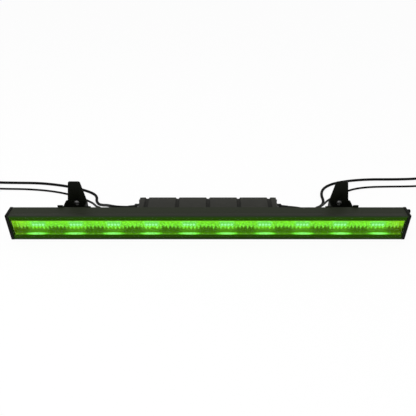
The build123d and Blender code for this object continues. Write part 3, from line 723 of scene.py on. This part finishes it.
# %% Choosing and cutting faces
def pick_faces(piece, test):
    """In edit mode, select the faces whose middle and normal pass a test."""
    only(piece)
    bpy.ops.object.mode_set(mode="EDIT")
    bpy.ops.mesh.select_mode(type="FACE")
    bpy.ops.mesh.select_all(action="DESELECT")
    bpy.ops.object.mode_set(mode="OBJECT")
    for face in piece.data.polygons:
        face.select = bool(test(face.center, face.normal))
    count = sum(face.select for face in piece.data.polygons)
    bpy.ops.object.mode_set(mode="EDIT")
    return count


def cut_across(piece, places_mm):
    """Cut loops through a piece, square to X, at several places."""
    only(piece)
    bpy.ops.object.mode_set(mode="EDIT")
    for place in places_mm:
        bpy.ops.mesh.select_all(action="SELECT")
        bpy.ops.mesh.bisect(plane_co=(place * MM, 0.0, 0.0), plane_no=(1.0, 0.0, 0.0))
    bpy.ops.object.mode_set(mode="OBJECT")


def press_ring(piece, low_mm, high_mm, depth_mm):
    """Sink a narrow ring of faces, between two cuts, straight into the piece."""
    count = pick_faces(
        piece,
        lambda middle, normal: low_mm < middle.x / MM < high_mm and abs(normal.x) < 0.2
        and (normal.z > 0.2 or normal.z < -0.9 or normal.y < -0.2 or normal.y > 0.9),
    )
    bpy.ops.mesh.extrude_region_shrink_fatten(TRANSFORM_OT_shrink_fatten={"value": -depth_mm * MM})
    bpy.ops.object.mode_set(mode="OBJECT")
    return count


print("face tools ready")

# %% [markdown]
# ### Rails, supply and brackets
# The rails get a round of about a third of a millimetre, the castings and bent sheets one of half
# a millimetre. Some faces get a second finish: the front lip of a rail catches the green light, and
# the cross grooves of the supply get a darker paint as painted shade.

# %% Rails, supply and brackets
front_lip_y = -43.5
rib_groove_pitch = 79.0
rib_groove_half = 5.6  # half a groove's width, and a little more


def on_lip(face):
    """The narrow front face of a rail, beside the glass."""
    return face.normal.y < -0.8 and face.center.y < front_lip_y * MM


def in_groove(face):
    """The walls and the floor of a cross groove of the power supply."""
    beside = (face.center.x / MM + rib_groove_pitch / 2) % rib_groove_pitch - rib_groove_pitch / 2
    return abs(beside) < rib_groove_half and (
        abs(face.normal.x) > 0.3 or face.normal.z > 0.9 or face.normal.y > 0.9
    )


for name, width, finish, slot, second, belongs in (
    ("top_rail", 0.35, anodised_rail, "anodised_aluminium", lip_lit, on_lip),
    ("bottom_rail", 0.35, anodised_rail, "anodised_aluminium", lip_lit, on_lip),
    # painted shade: the walls and floor of each supply groove take the darker paint
    ("driver_case", 0.5, supply_paint, "cast_aluminium", groove_shade_paint, in_groove),
    ("driver_end_left", 0.5, supply_paint, "cast_aluminium", None, None),
    ("driver_end_right", 0.5, supply_paint, "cast_aluminium", None, None),
    ("left_bracket", 0.5, powder_black, "powder_coat", None, None),
    ("right_bracket", 0.5, powder_black, "powder_coat", None, None),
):
    piece = soften(copy_node(name), width)
    materials = [finish, second] if second else [finish]
    finish_piece(piece, f"{name}_rounded", "fixture", [name], materials)
    for face in piece.data.polygons:
        face.material_index = 1 if second and belongs(face) else 0
    print(name, "faces:", len(piece.data.polygons))

# %% [markdown]
# ### End caps and arms
# Each end cap has a shadow line pressed round it, where the casting's draft changes, two to three
# millimetres in from its outer face. It is cut with two loops and sunk by half a millimetre. The
# arms only get their rounds.

# %% End caps and arms
sides = (("left", -1.0), ("right", 1.0))
ring_start, ring_end, ring_depth = 497.0, 497.8, 0.5
for side, sign in sides:
    cap = copy_node(f"{side}_end_cap")
    low, high = sorted((sign * ring_start, sign * ring_end))
    cut_across(cap, (low, high))
    sunk = press_ring(cap, low, high, ring_depth)
    soften(cap, 0.2, 1)
    finish_piece(
        cap, f"{side}_cap_cast", "fixture", [f"{side}_end_cap"], [cap_paint]
    )
    print(side, "cap: ring of", sunk, "faces sunk")

for side, _ in sides:
    arm = soften(copy_node(f"{side}_arm"), 0.6, 3)
    finish_piece(
        arm, f"{side}_arm_rounded", f"{side}_arm", [f"{side}_arm"], [powder_black]
    )
    print(side, "arm faces:", len(arm.data.polygons))

# %% [markdown]
# ## Turned and fluted pieces
# Screws, glands and connectors are turned or moulded round an axis. We start from a filled circle,
# extrude it and scale it station by station, then lay the result along its axis. Six sides make a
# hexagon, and alternate faces pushed in make the flutes of a grip.


# %% Turning along an axis
def turned(name, stations, sides=32):
    """Extrude a disc through (distance, radius) stations in millimetres, along +Z."""
    bpy.ops.object.select_all(action="DESELECT")
    place, radius = stations[0]
    bpy.ops.mesh.primitive_circle_add(
        vertices=sides, radius=radius * MM, fill_type="NGON", location=(0.0, 0.0, place * MM)
    )
    piece = bpy.context.object
    piece.name = name
    bpy.ops.object.transform_apply(location=True, rotation=False, scale=False)
    bpy.ops.object.mode_set(mode="EDIT")
    bpy.ops.mesh.select_mode(type="FACE")
    bpy.ops.mesh.select_all(action="SELECT")
    for next_place, next_radius in stations[1:]:
        rise = (0.0, 0.0, (next_place - place) * MM)
        bpy.ops.mesh.extrude_region_move(TRANSFORM_OT_translate={"value": rise})
        ratio = next_radius / radius
        middle = (0.0, 0.0, next_place * MM)
        bpy.ops.transform.resize(value=(ratio, ratio, 1.0), center_override=middle)
        place, radius = next_place, next_radius
    bpy.ops.mesh.select_all(action="SELECT")
    bpy.ops.mesh.normals_make_consistent(inside=False)
    bpy.ops.object.mode_set(mode="OBJECT")
    return piece


def flute(piece, low_mm, high_mm, depth_mm):
    """Push in every other side face, of 24, between two heights."""
    pick_faces(
        piece,
        lambda middle, normal: low_mm < middle.z / MM < high_mm and abs(normal.z) < 0.3
        and int(math.degrees(math.atan2(normal.y, normal.x)) // 15) % 2 == 0,
    )
    bpy.ops.mesh.inset(thickness=0.25 * MM, depth=-depth_mm * MM, use_individual=True)
    bpy.ops.object.mode_set(mode="OBJECT")


def socket(piece, top_mm, radius_mm, depth_mm):
    """Press a round drive socket into the flat top of a turned piece."""
    pick_faces(piece, lambda middle, normal: abs(middle.z / MM - top_mm) < 0.01 and normal.z > 0.9)
    corners = [v.co for v in piece.data.vertices]
    top = max(co.z for co in corners)
    rim = max(math.hypot(co.x, co.y) for co in corners if abs(co.z - top) < 1e-6)
    bpy.ops.mesh.inset(thickness=rim - radius_mm * MM)
    bpy.ops.mesh.extrude_region_move(TRANSFORM_OT_translate={"value": (0.0, 0.0, -depth_mm * MM)})
    bpy.ops.object.mode_set(mode="OBJECT")


def lay(piece, place_mm, axis):
    """Turn a piece's +Z to an axis, move it to a place, and write both into its mesh."""
    piece.rotation_euler = Vector(axis).to_track_quat("Z", "Y").to_euler()
    piece.location = Vector(place_mm) * MM
    return rest(piece)


def discard(*patterns):
    """Remove patterns once their copies are in place."""
    for pattern in patterns:
        bpy.data.objects.remove(pattern)


print("turning tools ready")

# %% [markdown]
# ### Screws
# The brackets hang on hexagon screws with a washer face under the head. The pivot is a button-head
# bolt, its dome the little grey glint on each bracket, with a lock nut behind. Each kind is made
# once, standing on its seat along +Z, and its copies are laid in place.

# %% Screw patterns
hexagon = turned("hex_head", [(0.9, 4.9), (1.1, 5.4), (3.9, 5.4), (4.5, 4.7)], sides=6)
washer = turned("washer_face", [(0.0, 6.0), (0.7, 6.0), (0.9, 5.2)], sides=24)
hex_screw = merge([hexagon, washer])

dome_top, dome_flat = 7.6, 3.2
button_bolt = turned("button_bolt", [
    (-12.5, 3.4), (-12.0, 4.0), (3.0, 4.0), (3.0, 7.0), (3.8, 7.0), (5.2, 6.5), (6.4, 5.5),
    (7.2, 4.2), (dome_top, dome_flat),
], sides=40)
socket(button_bolt, dome_top, 2.3, 2.6)

lock_nut = turned("lock_nut", [
    (0.0, 6.4), (0.5, 7.0), (4.6, 7.0), (5.0, 6.4), (5.0, 5.6), (6.2, 5.4), (6.5, 4.9),
], sides=6)
collar = turned("nut_collar", [(4.6, 5.9), (5.9, 5.9), (6.5, 5.2)], sides=32)
lock_nut = merge([lock_nut, collar])
for pattern, width in ((hex_screw, 0.15), (button_bolt, 0.12), (lock_nut, 0.12)):
    soften(pattern, width, 1)
    print(pattern.name, "faces:", len(pattern.data.polygons))

# %% [markdown]
# Four hexagon screws hold each bracket, two in each foot. The bolt enters the web from the front
# and the nut closes it from behind.

# %% Bracket screws and pivot bolts
pivot_x, pivot_z = 338.5, 69.0
bolt_seat_y, nut_seat_y, foot_face_y = 27.0, 32.0, -1.0
foot_columns = (-34.5, 34.5)
screw_rows = (68.2, 20.2)
for side, sign in sides:
    middle = sign * pivot_x
    screws = merge([
        lay(twin_of(hex_screw), (middle + x, foot_face_y, z), (0.0, 1.0, 0.0))
        for x in foot_columns for z in screw_rows
    ])
    bolt = lay(twin_of(button_bolt), (middle, bolt_seat_y, pivot_z), (0.0, -1.0, 0.0))
    nut = lay(twin_of(lock_nut), (middle, nut_seat_y, pivot_z), (0.0, 1.0, 0.0))
    for piece, name, stands_for, finish in (
        (screws, "bracket_hex", "bracket_screws", black_zinc),
        (bolt, "button_bolt", "pivot_bolt", nickel),
        (nut, "lock_nut", "pivot_nut", nickel),
    ):
        finish_piece(
            piece, f"{side}_{name}", "fixture", [f"{side}_{stands_for}"], [finish]
        )
    print(side, "screws in place")
discard(hex_screw, button_bolt, lock_nut)

# %% [markdown]
# ### Cable glands
# A gland is a hexagon, a fluted clamping nut and a ribbed sleeve that tapers onto the lead, so that
# the lead bends gently where it leaves.


# %% Cable glands
def gland(name, hexagon, hex_length, nut, nut_length, tail, end, length):
    """One gland along +Z, its hexagon at the start; all sizes in millimetres."""
    base = turned("gland_hexagon", [
        (0.0, hexagon - 0.4), (0.5, hexagon), (hex_length - 0.5, hexagon),
        (hex_length, hexagon - 0.5),
    ], 6)
    top = hex_length + nut_length
    grip = turned("gland_nut", [
        (hex_length, nut), (top - 1.6, nut), (top - 0.6, nut - 0.8), (top, nut - 2.0),
    ], 24)
    flute(grip, hex_length, top - 1.6, 0.5)
    rib_count, rib_depth = 7, 0.5
    step = (length - top) / rib_count
    ribs = [(top - 0.2, tail)]
    for number in range(rib_count):
        radius = tail + (end - tail) * (number + 0.5) / rib_count
        start = top + number * step
        for along, sunk in ((0.2, 0.0), (0.65, 0.0), (0.7, rib_depth), (0.95, rib_depth)):
            ribs.append((start + along * step, radius - sunk))
    ribs.append((length, end))
    sleeve = turned("gland_sleeve", ribs, 24)
    piece = merge([base, grip, sleeve])
    piece.name = name
    return soften(piece, 0.12, 1)


power_gland = gland("power_gland_pattern", 10.5, 6.0, 9.4, 7.0, 6.4, 4.7, 30.0)
data_gland = gland("data_gland_pattern", 9.0, 5.0, 7.6, 6.0, 5.0, 3.6, 23.0)
power_place, data_place = (177.0, 21.0, 56.5), (278.0, -4.0, 46.0)
for side, sign in sides:
    for pattern, kind, (x, y, z), axis in (
        (power_gland, "power", power_place, (sign, 0.0, 0.0)),
        (data_gland, "data", data_place, (0.0, 1.0, 0.0)),
    ):
        piece = lay(twin_of(pattern), (sign * x, y, z), axis)
        name = f"{side}_{kind}_gland"
        finish_piece(piece, f"{name}_ribbed", "fixture", [name], [moulded_nylon])
        print(name, "faces:", len(piece.data.polygons))
discard(power_gland, data_gland)

# %% [markdown]
# ### Breather vent
# A sealed light breathes through a membrane. Its vent has a hexagon to tighten it and a cap with
# slots round its rim.

# %% Breather vent
vent_place = (500.0, -11.0, 66.0)
vent_hexagon = turned("vent_hexagon", [(0.0, 5.2), (0.3, 5.6), (4.2, 5.6), (4.6, 5.1)], 6)
vent_cap = turned("vent_cap", [(4.4, 4.2), (5.2, 4.2), (5.2, 5.4), (8.6, 5.4), (9.5, 4.4)], 24)
flute(vent_cap, 5.3, 8.5, 0.7)
vent = lay(merge([vent_hexagon, vent_cap]), vent_place, (1.0, 0.0, 0.0))
soften(vent, 0.12, 1)
finish_piece(vent, "breather_vent_slotted", "fixture", ["breather_vent"], [moulded_nylon])
print("vent faces:", len(vent.data.polygons))

# %% [markdown]
# ### Connectors
# Each lead ends in a round screw-lock connector: a ribbed tail, a smooth body, and a coupling ring
# whose flutes give a wet hand some grip. It lies on the floor at the end of its lead.


# %% Connectors
def connector(name, lead_radius, body, ring):
    """One connector along +Z, its tail at the start; all sizes in millimetres."""
    tail = 14.0  # length of the ribbed tail
    end = tail + body * 4.0
    slim, stout = lead_radius + 1.0, body - 2.4
    stations = [(0.0, lead_radius + 0.8)]
    for number in range(4):
        radius = slim + (stout - slim) * number / 3
        start = 1.5 + number * 3.0
        for along, sunk in ((0.0, 0.0), (1.8, 0.0), (1.9, 0.5), (2.9, 0.5)):
            stations.append((start + along, radius - sunk))
    stations += [(tail, body - 1.0), (tail + 0.8, body), (end - 1.0, body), (end, body - 0.8)]
    shell = turned("connector_shell", stations, 32)
    low = tail + body * 1.9
    high = low + body * 1.8
    grip = turned("coupling_ring", [
        (low, body + 0.1), (low, ring - 0.6), (low + 0.6, ring), (high - 0.6, ring),
        (high, ring - 0.6), (high, body + 0.1),
    ], 24)
    flute(grip, low + 0.7, high - 0.7, 0.6)
    socket(shell, end, body - 2.6, 9.0)
    piece = merge([shell, grip])
    piece.name = name
    return soften(piece, 0.12, 1)


patterns = {
    "power": connector("power_connector_pattern", power_lead / 2, 9.0, 11.0),
    "data": connector("data_connector_pattern", data_lead / 2, 7.0, 8.5),
}
for name, points in routes.items():
    kind = name.split("_")[1]
    heading = Vector(points[-1]) - Vector(points[-2])
    heading.z = 0.0
    plug = lay(twin_of(patterns[kind]), points[-1], heading.normalized())
    finish_piece(
        plug, f"{name}_connector", "fixture", [f"{name}_plug"], [plug_nylon]
    )
    print(name, "connector faces:", len(plug.data.polygons))
discard(*patterns.values())

# %% [markdown]
# ## LED modules
# Each module is a moulded holder with four round lenses. A lens is a flattened dome with a rim,
# which a sphere would not give, so it is turned like the screws. One module is built and then
# copied, so that all ten are alike.

# %% LED modules
module_rear = -11.6
module_z = 28.7
module_size = (33.0, 2.2, 12.0)
lens_pitch = 8.0


def tray(middle_mm, size_mm, front, sink_mm, round_mm, segments):
    """A box with one side sunk a little inside its rim, and its edges rounded."""
    bpy.ops.object.select_all(action="DESELECT")
    bpy.ops.mesh.primitive_cube_add(size=1.0, location=Vector(middle_mm) * MM)
    box = bpy.context.object
    box.scale = Vector(size_mm) * MM
    rest(box)
    pick_faces(box, lambda middle, normal: normal.dot(Vector(front)) > 0.9)
    bpy.ops.mesh.inset(thickness=0.8 * MM, depth=0.0)
    bpy.ops.mesh.inset(thickness=0.2 * MM, depth=-sink_mm * MM)
    bpy.ops.object.mode_set(mode="OBJECT")
    return soften(box, round_mm, segments)


def led_module():
    """One module at the middle of the bar: a holder with four lens cups, and four lenses."""
    middle = (0.0, module_rear - module_size[1] / 2, module_z)
    parts, lenses = [tray(middle, module_size, (0.0, -1.0, 0.0), 0.3, 0.3, 2)], []
    for number in range(4):
        x = (number - 1.5) * lens_pitch
        cup = turned("lens_cup", [(0.0, 3.9), (1.6, 3.9), (2.0, 3.6), (2.0, 3.2), (1.2, 3.0)], 24)
        parts.append(lay(cup, (x, module_rear - 2.0, module_z), (0.0, -1.0, 0.0)))
        lens = turned("lens", [
            (0.0, 3.2), (1.4, 3.2), (2.2, 2.9), (2.9, 2.2), (3.3, 1.2), (3.4, 0.5),
        ], 24)
        lenses.append(lay(lens, (x, module_rear - 2.2, module_z), (0.0, -1.0, 0.0)))
    return merge(parts), merge(lenses)


holder, lenses = led_module()
for part in (holder, lenses):
    only(part)
    bpy.ops.object.shade_smooth_by_angle(angle=math.radians(35.0))
print("one module: faces", len(holder.data.polygons) + len(lenses.data.polygons))

# %% [markdown]
# The ten modules stand at an even pitch, five on each side of the middle. The holder stands for
# the CAD module; the lenses are a piece of their own, because they shine more brightly.

# %% Ten modules
module_count = 10
for number in range(module_count):
    shift = (number - (module_count - 1) / 2) * module_pitch
    label = f"{number + 1:02d}"
    for part, kind, finish, stands_for in (
        (holder, "holder", holder_lit, [f"led_module_{label}"]),
        (lenses, "lenses", lens_lit, []),
    ):
        twin = twin_of(part)
        twin.location.x = shift * MM
        rest(twin)
        finish_piece(twin, f"led_{kind}_{label}", "fixture", stands_for, [finish])
discard(holder, lenses)
print("modules:", module_count)

# %% [markdown]
# ## Mirrors at the ends of the trough
# A bright end plate closes the trough at each end and doubles what it faces, so the light seems to
# run on past the last module. It is a thin sheet with its edges folded towards the middle.

# %% Trough end plates
plate_x, plate_y, plate_z = 489.9, -24.3, 35.6
plate_size = (0.8, 22.6, 43.6)
for side, sign in sides:
    middle = (sign * plate_x, plate_y, plate_z)
    plate = tray(middle, plate_size, (-sign, 0.0, 0.0), 0.2, 0.1, 1)
    finish_piece(plate, f"{side}_trough_end", "fixture", [], [end_mirror])
    print(side, "end plate faces:", len(plate.data.polygons))

# %% [markdown]
# ## The leads as cords
# Each lead hangs from its gland and carries its own plug. Here each one gets its rubber sheath,
# joins the fixture's body, and stands for the CAD lead, which is hidden.

for name, lead in leads.items():
    lead.data.materials.append(rubber_sheath)
    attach(lead, "fixture")
    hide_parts(f"{name}_lead")
